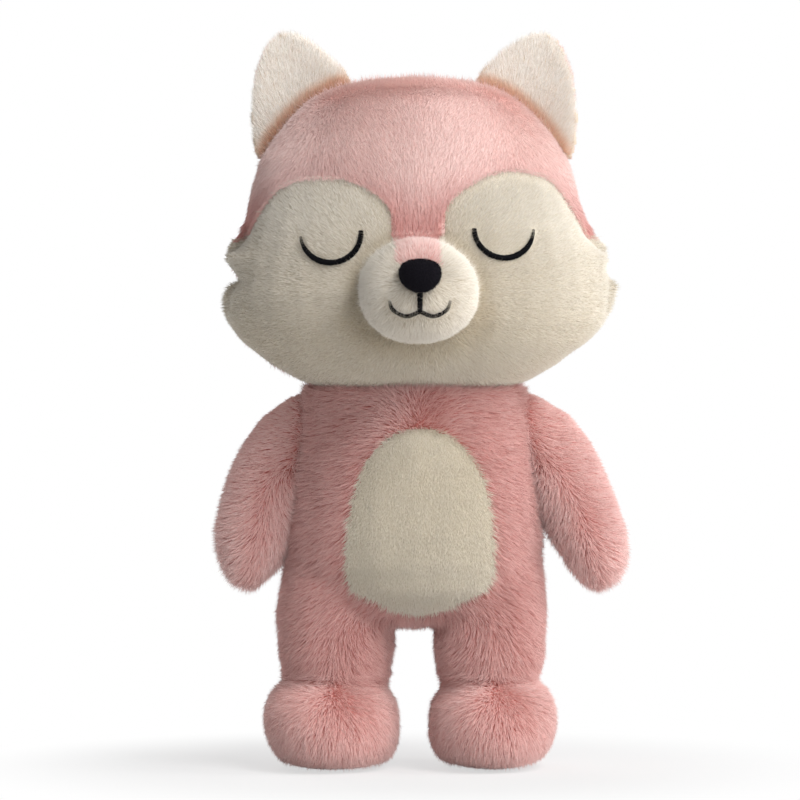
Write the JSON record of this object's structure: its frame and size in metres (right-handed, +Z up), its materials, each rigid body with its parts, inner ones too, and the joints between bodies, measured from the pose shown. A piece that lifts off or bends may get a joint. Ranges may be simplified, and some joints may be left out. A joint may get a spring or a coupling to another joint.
{
  "type": "plush fox",
  "caption": "Standing stuffed fox with a large round head, sewn closed eyes, short muzzle, hanging arms, round feet and a bushy tail.",
  "frame": {"origin": "on the floor, centred under the toy's bounding box", "axes": "+Z up, the face looks along -Y, the fox's own left side is at +X"},
  "size_m": [0.2205, 0.2301, 0.3998],
  "materials": {
    "pink_fur": "long pile plush, matte",
    "cream_fur": "short pile plush, matte",
    "pale_pink_fur": "short pile plush, matte",
    "black_felt": "flocked felt, matte",
    "black_thread": "satin stitch embroidery",
    "filling": "loose polyester fibre"
  },
  "bodies": {
    "torso": {"torso_skin": "pink_fur", "belly_patch": "cream_fur", "torso_stuffing": "filling", "left_leg_skin": "pink_fur", "left_leg_stuffing": "filling", "left_foot_upper": "pink_fur", "left_foot_sole": "pink_fur", "left_foot_stuffing": "filling", "right_leg_skin": "pink_fur", "right_leg_stuffing": "filling", "right_foot_upper": "pink_fur", "right_foot_sole": "pink_fur", "right_foot_stuffing": "filling"},
    "head": {"crown_panel": "pink_fur", "face_panel": "cream_fur", "head_back_panel": "pink_fur", "head_stuffing": "filling", "muzzle_panel": "cream_fur", "muzzle_bridge": "pale_pink_fur", "muzzle_stuffing": "filling", "nose": "black_felt", "mouth_stitching": "black_thread", "left_eye_stitching": "black_thread", "right_eye_stitching": "black_thread", "left_ear_front": "cream_fur", "left_ear_back": "pink_fur", "right_ear_front": "cream_fur", "right_ear_back": "pink_fur"},
    "left_arm": {"left_arm_skin": "pink_fur", "left_arm_stuffing": "filling"},
    "right_arm": {"right_arm_skin": "pink_fur", "right_arm_stuffing": "filling"},
    "tail": {"tail_brush": "pink_fur", "tail_tip": "cream_fur", "tail_stuffing": "filling"}
  },
  "joints": [
    {"name": "neck_turn", "type": "hinge", "parent": "torso", "child": "head", "pos_m": [0, 0, 0.206], "axis": [0, 0, 1], "range_deg": [-30, 30], "stiffness_Nm_per_rad": 0.3},
    {"name": "left_arm_swing", "type": "hinge", "parent": "torso", "child": "left_arm", "pos_m": [0.057, 0, 0.184], "axis": [-1, 0, 0], "range_deg": [-35, 75], "stiffness_Nm_per_rad": 0.04},
    {"name": "right_arm_swing", "type": "hinge", "parent": "torso", "child": "right_arm", "pos_m": [-0.057, 0, 0.184], "axis": [-1, 0, 0], "range_deg": [-35, 75], "stiffness_Nm_per_rad": 0.04},
    {"name": "tail_wag", "type": "hinge", "parent": "torso", "child": "tail", "pos_m": [0, 0.054, 0.104], "axis": [0, 0, 1], "range_deg": [-30, 30], "stiffness_Nm_per_rad": 0.04}
  ]
}
